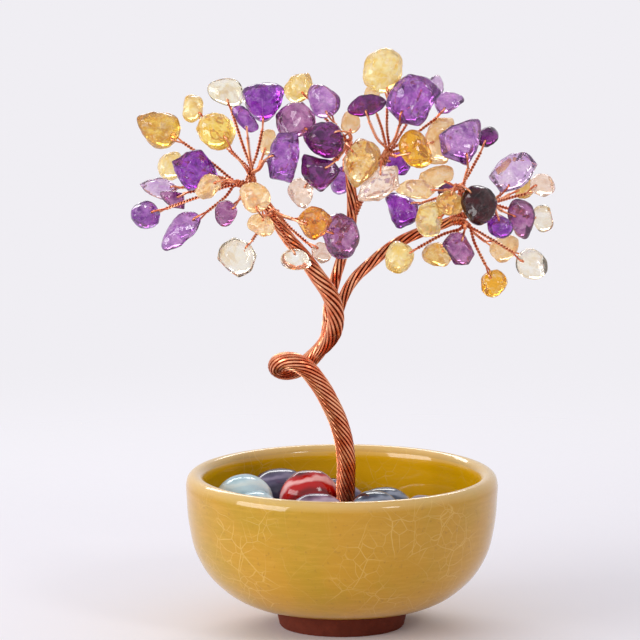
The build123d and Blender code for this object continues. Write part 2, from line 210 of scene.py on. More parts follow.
def makeStudio():
    aim = seen(studio["aimPixel"], studio["aimPixel"], 0)
    rise = math.radians(layout["viewRise"])
    cameraData = bpy.data.cameras.new("camera")
    cameraData.sensor_width = studio["sensor"]
    cameraData.lens = studio["sensor"] * studio["distance"] / (studio["framePixels"] * pixel)
    cameraData.clip_end = studio["clipEnd"]
    camera = bpy.data.objects.new("camera", cameraData)
    bpy.context.collection.objects.link(camera)
    camera.location = aim + Vector((0, -math.cos(rise), math.sin(rise))) * studio["distance"]
    camera.rotation_euler = (math.pi / 2 - rise, 0, 0)
    bpy.context.scene.camera = camera
    for name, values in studio["lamps"].items():
        lampData = bpy.data.lights.new(name, "AREA")
        lampData.shape = "RECTANGLE"
        lampData.size, lampData.size_y = values["size"]
        lampData.energy = values["watts"]
        lamp = bpy.data.objects.new(name, lampData)
        bpy.context.collection.objects.link(lamp)
        lamp.location = values["place"]
        lamp.rotation_euler = (Vector(studio["lampsAim"]) - lamp.location).to_track_quat("-Z", "Y").to_euler()
    world = bpy.data.worlds.new("studioWorld")
    bpy.context.scene.world = world
    world.use_nodes = True
    tree = world.node_tree
    tree.nodes.clear()
    path = addNode(tree, "LightPath")
    seenRay = addMath(tree, "MAXIMUM", path.outputs["Is Camera Ray"], path.outputs["Is Glossy Ray"])
    seenRay = addMath(tree, "MAXIMUM", seenRay, path.outputs["Is Transmission Ray"])
    strength = addSpan(tree, seenRay, low=studio["ambient"])
    shine = addNode(tree, "Background", sockets={"Color": studio["background"], "Strength": strength})
    addNode(tree, "OutputWorld", sockets={"Surface": shine.outputs[0]})
    bpy.context.scene.view_settings.view_transform = "Standard"
    deselectAll()
    bpy.ops.mesh.primitive_plane_add(size=2 * studio["floorHalf"], location=(0, 0, 0))
    floor = bpy.context.object
    floor.name = "floor"
    material, tree, shader, place = newMaterial("paleFloor")
    reach = addNode(tree, "VectorMath", {"operation": "LENGTH"}, {0: place}).outputs["Value"]
    fade = addSpan(tree, reach, *studio["floorFades"], 1.0, 0.0, "SMOOTHSTEP")
    wire(tree, shader, {"Base Color": studio["floorColour"], "Roughness": 0.9, "Specular IOR Level": 0.0,
                        "Alpha": fade})
    floor.data.materials.append(material)


makeStudio()
print("studio ready")

# Bowl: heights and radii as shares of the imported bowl, outside from the foot up, then inside going down
bowl = {"foot": ((0.302, 0.0), (0.392, 0.0), (0.402, 0.012), (0.428, 0.128)),
        "recess": ((0.0, 0.0286), (0.276, 0.0286)),
        "outer": ((0.60, 0.16), (0.80, 0.285), (0.925, 0.455), (0.978, 0.64), (1.0, 0.86), (1.0, 0.943)),
        "lip": ((0.985, 0.980), (0.943, 1.0), (0.901, 0.980), (0.8865, 0.943)),
        "inner": ((0.886, 0.86), (0.855, 0.620), (0.747, 0.393), (0.52, 0.259), (0.236, 0.214), (0.0, 0.214)),
        "fitShare": 0.9965,  # the smooth profile swells a little past its points
        "wallShare": 0.8865, "insideSpan": (0.008, 0.0405), "spinSteps": 96, "footLine": 0.0062,
        "mustard": srgb(184, 142, 0), "ochre": srgb(198, 144, 16), "inside": srgb(228, 172, 0),
        "brush": srgb(216, 164, 52), "speck": srgb(150, 98, 22), "pale": srgb(238, 204, 136),
        "clay": srgb(124, 58, 42), "clayDark": srgb(88, 38, 28), "crackle": srgb(240, 204, 118),
        "cloudScale": 26.0, "brushScale": 130.0, "brushStretch": 9.0, "speckScale": 900.0,
        "lipSpan": (0.0392, 0.0415), "cracks": (105.0, 230.0), "crackWidths": (0.015, 0.028),
        "crackDrift": 0.006, "patchScale": 60.0, "coatWeight": 0.7, "coatIor": 1.6}


def glazeMaterial():
    material, tree, shader, place = newMaterial("crackleGlaze")
    split = addNode(tree, "SeparateXYZ", sockets={"Vector": place})
    height = split.outputs["Z"]
    inside = addNode(tree, "Attribute", {"attribute_name": "inside"}).outputs["Fac"]
    cloud = addNoise(tree, place, bowl["cloudScale"], 4.0, 0.6, 0.4)
    colour = addMix(tree, addFade(tree, cloud, (0.40, 0), (0.56, 1)), bowl["mustard"], bowl["ochre"])
    brushed = addNode(tree, "Mapping", sockets={"Vector": place, "Scale": (1.0, 1.0, bowl["brushStretch"])})
    brush = addNoise(tree, brushed.outputs[0], bowl["brushScale"], 4.0, 0.7)
    colour = addMix(tree, addFade(tree, brush, (0.45, 0), (0.70, 0.4)), colour, bowl["brush"])
    speck = addNoise(tree, place, bowl["speckScale"], 2.0, 0.6)
    colour = addMix(tree, addFade(tree, speck, (0.62, 0), (0.72, 0.35)), colour, bowl["speck"])
    # Inside of the bowl: a deeper golden glaze, painted lighter as painted light to make up for the shade inside the
    # bowl
    colour = addMix(tree, addMath(tree, "MULTIPLY", inside, 0.9), colour, bowl["inside"])
    colour = addMix(tree, addSpan(tree, height, *bowl["lipSpan"], 0.0, 0.55), colour, bowl["pale"])
    # Crackle: wide cells everywhere, and fine ones in patches
    drift = addNode(tree, "TexNoise", sockets={"Vector": place, "Scale": 70.0, "Detail": 2.0})
    shift = addNode(tree, "VectorMath", {"operation": "SCALE"},
                    {0: drift.outputs["Color"], "Scale": bowl["crackDrift"]})
    bent = addNode(tree, "VectorMath", {"operation": "ADD"}, {0: place, 1: shift.outputs[0]})
    nets = []
    for scale, width, strength in zip(bowl["cracks"], bowl["crackWidths"], (1.0, 0.8)):
        cells = addNode(tree, "TexVoronoi", {"feature": "DISTANCE_TO_EDGE"},
                        {"Vector": bent.outputs[0], "Scale": scale})
        nets.append(addFade(tree, cells.outputs["Distance"], (0.0, strength), (width, 0)))
    patch = addFade(tree, addNoise(tree, place, bowl["patchScale"], 3.0), (0.46, 0), (0.62, 1))
    lines = addMath(tree, "MAXIMUM", nets[0], addMath(tree, "MULTIPLY", nets[1], patch))
    lines = addMath(tree, "MULTIPLY", lines, addMath(tree, "ADD", addMath(tree, "MULTIPLY", patch, 0.8), 0.12))
    colour = addMix(tree, addMath(tree, "MULTIPLY", lines, 0.55), colour, bowl["crackle"])
    edge = addMath(tree, "ADD", height, addMath(tree, "MULTIPLY", addNoise(tree, place, 160.0, 2.0), 0.0008))
    glazed = addSpan(tree, edge, bowl["footLine"], bowl["footLine"] + 0.4 * mm)
    mask, clayNormal = addMottle(tree, place, 500.0, 0.0003)
    clay = addMix(tree, mask, bowl["clayDark"], bowl["clay"])
    bump = addNode(tree, "Bump", {"invert": True}, {"Height": lines, "Distance": 0.00005, "Strength": 0.5})
    wave = addNode(tree, "Bump", sockets={"Height": addNoise(tree, place, 42.0, 2.0), "Distance": 0.0006,
                                          "Strength": 0.35, "Normal": bump.outputs["Normal"]})
    wire(tree, shader, {"Base Color": addMix(tree, glazed, clay, colour),
                        "Roughness": addSpan(tree, glazed, low=0.85, high=0.30),
                        "Normal": addMix(tree, glazed, clayNormal, wave.outputs["Normal"]),
                        "Coat Weight": addMath(tree, "MULTIPLY", glazed, bowl["coatWeight"]),
                        "Coat Roughness": 0.04, "Coat IOR": bowl["coatIor"], "Specular IOR Level": 0.10})
    return material


def makeBowl():
    low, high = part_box("bowl")
    radius = (high.x - low.x) / 2 * bowl["fitShare"]
    height = high.z - low.z
    corners = bowl["recess"] + bowl["foot"]
    smooth = bowl["outer"] + bowl["lip"] + bowl["inner"]
    profile = bpy.data.curves.new("bowlProfile", "CURVE")
    profile.dimensions = "3D"
    profile.resolution_u = 5
    spline = profile.splines.new("BEZIER")
    spline.bezier_points.add(len(corners) + len(smooth) - 1)
    for number, (across, up) in enumerate(corners + smooth):
        point = spline.bezier_points[number]
        point.co = (across * radius, 0, up * height)
        kind = "VECTOR" if number < len(corners) - 1 else "AUTO"
        point.handle_left_type = "VECTOR" if number < len(corners) else kind
        point.handle_right_type = kind
    body = bpy.data.objects.new("bowlProfile", profile)
    bpy.context.collection.objects.link(body)
    activate(body)
    bpy.ops.object.convert(target="MESH")
    body = bpy.context.object
    bpy.ops.object.mode_set(mode="EDIT")
    bpy.ops.mesh.select_all(action="SELECT")
    bpy.ops.mesh.spin(steps=bowl["spinSteps"], angle=2 * math.pi, center=(0, 0, 0), axis=(0, 0, 1))
    bpy.ops.mesh.select_all(action="SELECT")
    bpy.ops.mesh.remove_doubles(threshold=0.02 * mm)
    bpy.ops.mesh.normals_make_consistent(inside=False)
    bpy.ops.object.mode_set(mode="OBJECT")
    bpy.ops.object.shade_smooth_by_angle(angle=math.radians(40))
    # Marks the inner surface, where the glaze gets its deeper golden colour and its painted light
    inside = body.data.attributes.new("inside", "FLOAT", "POINT")
    wall = radius * bowl["wallShare"]
    floor, rim = bowl["insideSpan"]
    for number, vertex in enumerate(body.data.vertices):
        across = math.hypot(vertex.co.x, vertex.co.y)
        inner = vertex.normal.to_2d().dot(vertex.co.to_2d()) < 0 or across < wall * 0.99 and vertex.normal.z > 0.3
        inside.data[number].value = 1.0 if inner and floor < vertex.co.z < rim else 0.0
    body.data.materials.append(glazeMaterial())
    body.name = "glazedBowl"
    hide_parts("bowl")
    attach(body, "base")


makeBowl()
print("bowl turned")

# Copper rope: strands laid up on a route. Radii thin along the rope, and turns are counted along its whole length
# Copper colours: body and bright tones in random patches, and dark as painted shade in the grooves between the
# strands
copper = {"bright": srgb(248, 178, 136), "body": srgb(228, 128, 88), "dark": srgb(112, 30, 16),
          "strandSides": 6, "coreSides": 12, "press": 1.04, "ringStep": 0.8 * mm, "layLength": 34 * mm,
          "trunkRoot": 13 * mm, "bendFrom": (334, 318, 0.08), "bendTop": 0.0955}

ropes = {
    "trunkRope": {"strands": 16, "radii": (2.6, 2.6, 2.6, 2.6, 2.6, 2.5, 1.6), "body": ("base",),
                  "replaces": "trunk",
                  "places": ((346, 516, 0.00), (346, 485, 0.00), (346, 458, 0.00), (341, 430, -0.01),
                             (330, 403, -0.05), (317, 381, -0.09), (303, 366, -0.12), (288, 361, -0.10),
                             (277, 366, 0.05), (285, 371, 0.18), (299, 368, 0.23), (313, 357, 0.21),
                             (326, 340, 0.17), (331, 322, 0.10))},
    "leftRope": {"strands": 11, "radii": (1.3, 2.3, 2.4, 2.2, 1.9, 1.6, 1.3), "body": ("base", "left_bough"),
                 "replaces": "left_limb",
                 "places": ((314, 357, 0.18), (328, 343, 0.10), (335, 327, 0.02), (335, 310, -0.04),
                            (330, 295, -0.09), (318, 277, -0.14), (303, 256, -0.15), (288, 238, -0.13),
                            (272, 214, -0.12), (260, 197, -0.10), (251, 188, -0.09))},
    "centreRope": {"strands": 8, "radii": (1.2, 1.7, 1.6, 1.5, 1.5, 1.4, 1.1), "body": ("base", "centre_bough"),
                   "replaces": "centre_limb",
                   "places": ((316, 354, 0.22), (324, 340, 0.22), (328, 325, 0.20), (329, 309, 0.20),
                              (332, 292, 0.20), (337, 273, 0.18), (345, 248, 0.18), (351, 224, 0.16),
                              (352, 200, 0.13), (350, 176, 0.09), (350, 153, 0.05))},
    "rightRope": {"strands": 8, "radii": (1.0, 1.4, 1.5, 1.6, 1.6, 1.5, 1.3), "body": ("base", "right_bough"),
                  "replaces": "right_limb",
                  "places": ((320, 352, 0.16), (330, 336, 0.18), (336, 320, 0.16), (341, 304, 0.10),
                             (347, 290, 0.05), (356, 277, 0.03), (370, 264, 0.04), (387, 250, 0.04),
                             (405, 239, 0.02), (436, 227, -0.02), (457, 219, -0.05))},
}


def copperMaterial():
    material, tree, shader, place = newMaterial("copperWire")
    grooveShade = addNode(tree, "Attribute", {"attribute_name": "grooveShade"}).outputs["Fac"]
    cloud = addNoise(tree, place, 260.0, 3.0, 0.6)
    colour = addMix(tree, addFade(tree, cloud, (0.38, 0), (0.62, 1)), copper["body"], copper["bright"])
    # Painted shade: the copper turns dark red-brown where the groove mask is high, between the strands
    colour = addMix(tree, grooveShade, colour, copper["dark"])
    scratch = addNoise(tree, place, 2600.0, 2.0, 0.5)
    bump = addNode(tree, "Bump", sockets={"Height": scratch, "Distance": 0.00004, "Strength": 0.4})
    rough = addMath(tree, "ADD", addMath(tree, "MULTIPLY", grooveShade, 0.25), addSpan(tree, cloud, low=0.20, high=0.36))
    wire(tree, shader, {"Base Color": colour, "Metallic": 1.0, "Roughness": rough,
                        "Normal": bump.outputs["Normal"]})
    return material


copperWire = copperMaterial()


def selectEdges(piece, wanted):
    bpy.ops.mesh.select_mode(type="EDGE")
    bpy.ops.mesh.select_all(action="DESELECT")
    shape = bmesh.from_edit_mesh(piece.data)
    for edge in shape.edges:
        edge.select = wanted(edge.verts[0].co, edge.verts[1].co)
    bmesh.update_edit_mesh(piece.data)


# Radius of strands that lie side by side in a ring, pressed together a little
def strandRadius(outside, count):
    half = math.sin(math.pi / count)
    return outside * half / (1 + half) * copper["press"]


# One straight strand, cut into rings and copied round the rope's middle
def straightStrands(count, radius, offset, length, sides, ringStep):
    deselectAll()
    bpy.ops.mesh.primitive_circle_add(vertices=sides, radius=radius, fill_type="NGON", location=(offset, 0, 0))
    bpy.ops.object.transform_apply(location=True)
    piece = bpy.context.object
    bpy.ops.object.mode_set(mode="EDIT")
    bpy.ops.mesh.select_all(action="SELECT")
    bpy.ops.mesh.extrude_region_move(TRANSFORM_OT_translate={"value": (0, 0, length)})
    selectEdges(piece, lambda one, two: abs(one.z - two.z) > length / 2)
    bpy.ops.mesh.subdivide(number_cuts=max(2, round(length / ringStep)) - 1)
    bpy.ops.mesh.select_all(action="SELECT")
    bpy.ops.mesh.normals_make_consistent(inside=False)
    if count > 1:
        bpy.ops.mesh.spin(steps=count - 1, dupli=True, angle=2 * math.pi * (count - 1) / count,
                          center=(0, 0, 0), axis=(0, 0, 1))
    bpy.ops.object.mode_set(mode="OBJECT")
    return piece


def routeCurve(places):
    data = bpy.data.curves.new("route", "CURVE")
    data.dimensions = "3D"
    data.resolution_u = 24
    spline = data.splines.new("BEZIER")
    spline.bezier_points.add(len(places) - 1)
    for point, place in zip(spline.bezier_points, places):
        point.co = place
        point.handle_left_type = "AUTO"
        point.handle_right_type = "AUTO"
    curve = bpy.data.objects.new("route", data)
    bpy.context.collection.objects.link(curve)
    return curve


# Value at a share of the way through a list
def along(values, share):
    spot = min(max(share, 0), 0.9999) * (len(values) - 1)
    first = int(spot)
    return values[first] + (values[first + 1] - values[first]) * (spot - first)


# Twists straight strands left-handed, thins them and bends them on to a route; also stores a painted groove shade
# mask
def layOnRoute(piece, curve, length, turns, outside, radii, grooveShadeEdge=0.93, grooveShadeDepth=0.16):
    # The mask stored here is painted shade: 1 deep in the grooves between strands, 0 on their crowns
    grooveShades = piece.data.attributes.new("grooveShade", "FLOAT", "POINT")
    for number, vertex in enumerate(piece.data.vertices):
        share = vertex.co.z / length
        reach = math.hypot(vertex.co.x, vertex.co.y) / outside
        grooveShades.data[number].value = min(max((grooveShadeEdge - reach) / grooveShadeDepth, 0), 1)
        width = along(radii, share) / outside
        turn = -2 * math.pi * turns * share
        vertex.co = Matrix.Rotation(turn, 3, "Z") @ Vector((vertex.co.x * width, vertex.co.y * width, vertex.co.z))
    modifier = piece.modifiers.new("route", "CURVE")
    modifier.object = curve
    modifier.deform_axis = "POS_Z"
    applyModifiers(piece)


def makeRope(name, values):
    places = [seen(*place) for place in values["places"]]
    if name == "trunkRope":
        foot = Vector((places[0].x, places[0].y, layout["bedTop"] - copper["trunkRoot"]))
        places = [foot, (foot + places[0]) / 2] + places
    curve = routeCurve(places)
    length = curve.data.splines[0].calc_length()
    radii = [radius * mm for radius in values["radii"]]
    outside = max(radii)
    count = values["strands"]
    radius = strandRadius(outside, count)
    strands = straightStrands(count, radius, outside - radius, length, copper["strandSides"], copper["ringStep"])
    core = straightStrands(1, outside - 1.6 * radius, 0, length, copper["coreSides"], copper["ringStep"])
    rope = joinPieces([strands, core], name)
    layOnRoute(rope, curve, length, length / copper["layLength"], outside, radii)
    bpy.data.objects.remove(curve)
    activate(rope)
    bpy.ops.object.shade_smooth_by_angle(angle=math.radians(60))
    rope.data.materials.append(copperWire)
    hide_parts(values["replaces"])
    if len(values["body"]) == 1:
        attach(rope, values["body"][0])
    else:
        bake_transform(rope)


for ropeName, ropeValues in ropes.items():
    makeRope(ropeName, ropeValues)
print("ropes laid")

# Chips. A chip: centre across, centre down, length, width (pixels), lean in degrees, depth share, tint, form
sprays = {
    "left_side": {
        "limb": "leftRope", "body": "left_bough", "stem": ((240, 184, -0.14),),
        "citrine": ((159, 130, 46, 34, -18, 0.02, "amber", "drop"), (171, 165, 30, 26, 60, 0.56, "straw", "round"),
                    (209, 188, 28, 20, 40, -0.52, "peach", "chip")),
        "amethyst": ((196, 171, 38, 32, -52, -0.24, "royal", "block"),
                     (158, 188, 40, 18, -12, 0.22, "lilac", "shard"),
                     (172, 199, 30, 14, -20, -0.12, "mauve", "shard"),
                     (147, 216, 30, 28, -10, -0.44, "violet", "round"),
                     (180, 232, 56, 25, 45, -0.30, "orchid", "bean")),
    },
    "left_top": {
        "limb": "leftRope", "body": "left_bough", "stem": ((252, 177, -0.02),),
        "citrine": ((226, 92, 46, 26, -14, 0.34, "rim", "flake"), (217, 131, 40, 34, -40, -0.22, "yellow", "round"),
                    (194, 109, 30, 20, 80, 0.10, "straw", "chip"), (268, 142, 28, 17, 84, 0.52, "peach", "chip")),
        "amethyst": ((264, 101, 46, 38, 35, -0.06, "royal", "drop"),
                     (246, 121, 52, 15, -52, -0.40, "violet", "sliver"),
                     (284, 157, 45, 27, 82, -0.46, "violet", "block"),
                     (226, 215, 28, 21, 78, -0.46, "mauve", "chip")),
    },
    "left_inner": {
        "limb": "leftRope", "body": "left_bough", "leaves": 0.80, "stem": ((274, 213, -0.32),),
        "citrine": ((255, 197, 34, 28, -60, -0.80, "peach", "chip"), (262, 226, 30, 20, -28, -0.56, "peach", "round"),
                    (239, 257, 34, 30, -60, -0.20, "clear", "block"),
                    (315, 225, 33, 31, 10, -0.84, "orange", "round"),
                    (296, 260, 34, 20, -6, -0.42, "clear", "round"),
                    (322, 253, 24, 17, -55, -0.16, "blush", "chip")),
        "amethyst": ((341, 236, 48, 34, -75, -0.46, "mauve", "chip"),),
    },
    "centre_left": {
        "limb": "centreRope", "body": "centre_bough", "stem": ((349, 145, 0.07),),
        "citrine": ((299, 88, 32, 25, 65, 0.46, "straw", "chip"), (302, 194, 32, 24, -60, -0.16, "blush", "drop"),
                    (351, 122, 26, 18, 75, 0.44, "peach", "chip"), (362, 164, 48, 32, 78, -0.34, "honey", "chip")),
        "amethyst": ((322, 100, 40, 28, -55, 0.10, "orchid", "drop"), (295, 122, 37, 32, 15, -0.10, "mauve", "block"),
                     (325, 140, 40, 34, -20, -0.42, "plum", "round"), (316, 172, 42, 28, -38, -0.50, "plum", "shard"),
                     (342, 180, 30, 22, 60, 0.50, "violet", "chip")),
    },
    "centre_right": {
        "limb": "centreRope", "body": "centre_bough", "leaves": 0.72,
        "stem": ((365, 190, 0.12), (377, 171, 0.10), (386, 155, 0.08)),
        "citrine": ((382, 71, 48, 38, 70, -0.04, "straw", "chip"), (372, 97, 26, 16, 80, 0.46, "peach", "chip"),
                    (414, 152, 38, 28, -60, -0.40, "yolk", "chip"), (439, 141, 44, 26, 70, 0.14, "peach", "block"),
                    (380, 186, 46, 24, 40, -0.64, "blush", "block")),
        "amethyst": ((365, 107, 46, 20, 14, -0.34, "plum", "flake"), (411, 99, 48, 38, 55, -0.24, "violet", "block"),
                     (436, 86, 24, 16, 70, 0.52, "lilac", "chip"), (449, 102, 34, 18, 12, 0.20, "orchid", "shard"),
                     (398, 163, 30, 22, -30, 0.44, "royal", "chip")),
    },
    "right_top": {
        "limb": "rightRope", "body": "right_bough", "stem": ((460, 206, 0.04), (461, 191, 0.05)),
        "citrine": ((437, 177, 46, 20, 8, 0.10, "peach", "flake"), (416, 190, 46, 18, -6, -0.34, "peach", "flake"),
                    (449, 204, 26, 24, 20, -0.48, "honey", "chip"), (428, 221, 40, 26, 86, -0.33, "straw", "chip")),
        "amethyst": ((463, 140, 52, 32, 50, -0.10, "orchid", "shard"), (487, 137, 24, 19, 25, 0.30, "plum", "chip"),
                     (446, 190, 18, 14, 0, 0.34, "plum", "chip"), (479, 205, 42, 34, -75, -0.60, "ink", "round"),
                     (401, 207, 38, 26, -55, 0.36, "royal", "shard")),
    },
    "right_far": {
        "limb": "rightRope", "body": "right_bough", "stem": ((474, 211, 0.05), (490, 204, 0.08)),
        "citrine": ((525, 187, 22, 18, 40, 0.56, "honey", "chip"), (543, 184, 25, 22, -10, 0.26, "blush", "round"),
                    (542, 219, 29, 20, -80, 0.20, "clear", "chip")),
        "amethyst": ((499, 227, 27, 22, -20, -0.30, "royal", "round"),
                     (521, 219, 44, 25, -78, -0.08, "mauve", "drop"),
                     (514, 171, 44, 30, 38, -0.02, "lilac", "block")),
    },
    "right_low": {
        "limb": "rightRope", "body": "right_bough", "stem": ((464, 223, -0.15),),
        "citrine": ((504, 248, 32, 24, 38, 0.16, "peach", "chip"), (532, 265, 35, 29, -35, -0.12, "clear", "round"),
                    (494, 283, 28, 26, 60, -0.20, "yolk", "round"), (437, 254, 30, 24, -10, -0.12, "honey", "round"),
                    (400, 258, 34, 27, 82, -0.30, "straw", "chip")),
        "amethyst": ((458, 249, 32, 22, -60, -0.44, "mauve", "block"),),
    },
}

# Tints: pale and deep colour, edge colour (painted shade at grazing edges, and the colour of the flaws), share of
# light that passes through
tints = {
    "royal": (srgb(178, 66, 210), srgb(90, 0, 126), srgb(44, 0, 66), 0.84),
    "violet": (srgb(198, 112, 214), srgb(106, 18, 136), srgb(60, 8, 84), 0.84),
    "orchid": (srgb(224, 166, 226), srgb(150, 66, 174), srgb(92, 28, 116), 0.86),
    "mauve": (srgb(212, 138, 190), srgb(128, 46, 122), srgb(74, 20, 74), 0.82),
    "lilac": (srgb(248, 226, 244), srgb(200, 146, 216), srgb(130, 74, 148), 0.90),
    "plum": (srgb(158, 54, 154), srgb(60, 2, 66), srgb(30, 0, 36), 0.76),
    "ink": (srgb(84, 2, 16), srgb(20, 0, 4), srgb(8, 0, 2), 0.36),
    "amber": (srgb(250, 214, 92), srgb(208, 130, 8), srgb(150, 84, 6), 0.80),
    "straw": (srgb(254, 242, 184), srgb(247, 208, 96), srgb(216, 156, 46), 0.68),
    "yellow": (srgb(253, 231, 118), srgb(242, 186, 30), srgb(202, 138, 16), 0.76),
    "honey": (srgb(252, 226, 146), srgb(232, 162, 44), srgb(182, 114, 22), 0.78),
    "peach": (srgb(253, 232, 186), srgb(246, 200, 124), srgb(218, 150, 70), 0.66),
    "blush": (srgb(253, 238, 222), srgb(244, 212, 184), srgb(206, 146, 108), 0.80),
    "clear": (srgb(255, 254, 246), srgb(255, 246, 218), srgb(224, 176, 76), 0.94),
    "rim": (srgb(255, 253, 238), srgb(255, 242, 196), srgb(206, 150, 40), 0.95),
    "orange": (srgb(250, 186, 52), srgb(212, 92, 0), srgb(146, 58, 2), 0.78),
    "yolk": (srgb(253, 238, 162), srgb(244, 180, 18), srgb(196, 128, 18), 0.80),
}

# Milky stones scatter light inside, shown as a weak glow of their own colour
glows = {"straw": 0.07, "peach": 0.08, "honey": 0.06, "yellow": 0.06, "amber": 0.04, "blush": 0.05,
         "orange": 0.05, "yolk": 0.04, "clear": 0.0, "rim": 0.0}

# Forms: squareness of the outline, taper and waist along the length, thickness as a share of the width,
# corners cut off, and how much the cut edges stay crisp
forms = {
    "chip": (2.4, 0.12, 0.0, 0.70, 4, 0.0), "block": (4.2, 0.05, 0.0, 0.66, 3, 0.12),
    "drop": (2.1, 0.42, 0.0, 0.64, 2, 0.0), "bean": (3.8, 0.28, 0.16, 0.60, 0, 0.0),
    "flake": (2.0, 0.10, 0.0, 0.36, 2, 0.0), "sliver": (1.6, 0.05, 0.0, 0.42, 0, 0.0),
    "round": (2.1, 0.06, 0.0, 0.78, 3, 0.0), "shard": (2.0, 0.68, 0.0, 0.60, 4, 0.08),
}

chips = {"corners": 8, "levels": (-0.5, -0.16, 0.14, 0.5), "girths": (0.56, 1.0, 0.98, 0.58), "grow": 1.14,
         "wobble": 0.10, "bend": 0.12, "capTilt": 0.26, "rollDegrees": 16, "pitchDegrees": 12,
         "cutClear": 0.8, "cutTilts": (0.35, 0.9), "cutDepths": (0.80, 0.90),  # the side to the hub isn't cut
         "holeRadius": 0.42 * mm, "edgeShare": 0.76, "drillEdge": 0.57 * mm, "standoff": 0.30 * mm,
         "wireReach": 1.6 * mm, "legTuck": 0.1 * mm, "legRise": 0.7}

# Dents of each kind of stone: size of the dents, and their depth
dents = {"amethyst": ((3.4 * mm, 0.70 * mm), (1.5 * mm, 0.24 * mm)),
         "citrine": ((2.8 * mm, 0.80 * mm), (1.3 * mm, 0.26 * mm))}

# The twigs' groove values set where the painted groove shade starts and how far it runs
twig = {"wireRadius": 0.26 * mm, "sides": 6, "ringStep": 0.26 * mm, "pitch": 1.75 * mm, "bow": 0.05,
        "spread": 0.85 * mm, "hubSpread": 0.65 * mm, "grooveShade": (0.64, 0.25), "stemStrands": 6,
        "stemRadius": 0.8 * mm, "stemShares": (0.8, 1, 1, 1, 0.6), "stemLay": 7 * mm,
        "stemGrooveShade": (0.75, 0.2), "knot": 1.1 * mm}


# Inside of the gems: which are glassy and which dark, and the scale of each kind of flaw
gemLook = {"glassy": ("clear", "rim"), "dark": ("ink", "plum"), "ior": 1.54, "polish": (0.01, 0.10),
           "cloudScale": 300.0, "veilScale": 330.0, "flawScale": 190.0, "paintedGlintScale": 150.0,
           "paintedGlint": srgb(252, 246, 250), "breakScale": 210.0, "breakDepth": 1.8 * mm,
           "grainScale": 800.0, "grainDepth": 0.1 * mm, "polishScale": 340.0, "glassyDents": 0.2}


def gemMaterial(name):
    pale, deep, edge, through = tints[name]
    glassy = name in gemLook["glassy"]
    dark = name in gemLook["dark"]
    material, tree, shader, place = newMaterial(name + "Gem")
    local = addNode(tree, "Attribute", {"attribute_name": "stonePlace"}).outputs["Vector"]
    cloud = addNoise(tree, place, gemLook["cloudScale"], 4.0, 0.62, 0.8)
    zone = addNoise(tree, local, 0.9, 2.0, 0.5, 0.5)
    mask = addMath(tree, "ADD", addMath(tree, "MULTIPLY", cloud, 0.55), addMath(tree, "MULTIPLY", zone, 0.45))
    if name == "yolk":
        reach = addNode(tree, "VectorMath", {"operation": "LENGTH"}, {0: local}).outputs["Value"]
        core = addFade(tree, reach, (0.30, 1), (0.90, 0))
        mask = addMath(tree, "ADD", addMath(tree, "MULTIPLY", mask, 0.4), addMath(tree, "MULTIPLY", core, 0.6))
    colour = addMix(tree, addFade(tree, mask, (0.42, 0), (0.57, 1)), pale, deep)
    veil = addNoise(tree, place, gemLook["veilScale"], 3.0, 0.6, 1.2)
    whiten = 0.6 if name in glows else 0.3
    colour = addMix(tree, addFade(tree, veil, (0.52, 0), (0.68, 0.15 if dark else 0.55)), colour,
                    tuple(part + (1 - part) * whiten for part in pale))
    flaw = addNoise(tree, place, gemLook["flawScale"], 4.0, 0.6, 1.0)
    colour = addMix(tree, addFade(tree, flaw, (0.52, 0), (0.66, 0.6)), colour, edge)
    # Painted highlight: thin near-white streaks that stand in for reflected highlights on the stone
    paintedGlint = addNoise(tree, place, gemLook["paintedGlintScale"], 2.0, 0.5, 1.2)
    paintedGlints = addFade(tree, paintedGlint, (0.485, 0), (0.50, 0.06 if dark else 0.40), (0.515, 0))
    colour = addMix(tree, paintedGlints, colour, gemLook["paintedGlint"])
    # Painted edge shade: the edge colour is mixed in where the surface turns away from the view
    graze = addNode(tree, "LayerWeight", sockets={"Blend": 0.40 if glassy else 0.26}).outputs["Facing"]
    colour = addMix(tree, addFade(tree, graze, (0.28, 0), (0.75, 0.9)), colour, edge)
    # Shallow shell-shaped breaks with ridges between them
    shells = addNode(tree, "TexVoronoi", {"feature": "F1"}, {"Vector": place, "Scale": gemLook["breakScale"]})
    ridge = addMath(tree, "MULTIPLY", shells.outputs["Distance"], shells.outputs["Distance"])
    breaks = addNode(tree, "Bump", sockets={"Height": ridge, "Distance": gemLook["breakDepth"],
                                            "Strength": 0.08 if glassy else 0.3 if name in glows else 0.6})
    grain = addNoise(tree, place, gemLook["grainScale"], 2.0, 0.5)
    bump = addNode(tree, "Bump", sockets={"Height": grain, "Distance": gemLook["grainDepth"],
                                          "Strength": 0.1 if glassy else 0.35, "Normal": breaks.outputs["Normal"]})
    worn = addNoise(tree, place, gemLook["polishScale"], 2.0)
    smoothest, roughest = gemLook["polish"]
    wire(tree, shader, {"Base Color": colour, "Roughness": addSpan(tree, worn, low=smoothest, high=roughest),
                        "IOR": gemLook["ior"], "Specular IOR Level": 0.3 if dark else 0.5,
                        "Transmission Weight": through, "Normal": bump.outputs["Normal"],
                        "Emission Color": colour, "Emission Strength": glows.get(name, 0.0)})
    return material


gems = {name: gemMaterial(name) for name in tints}


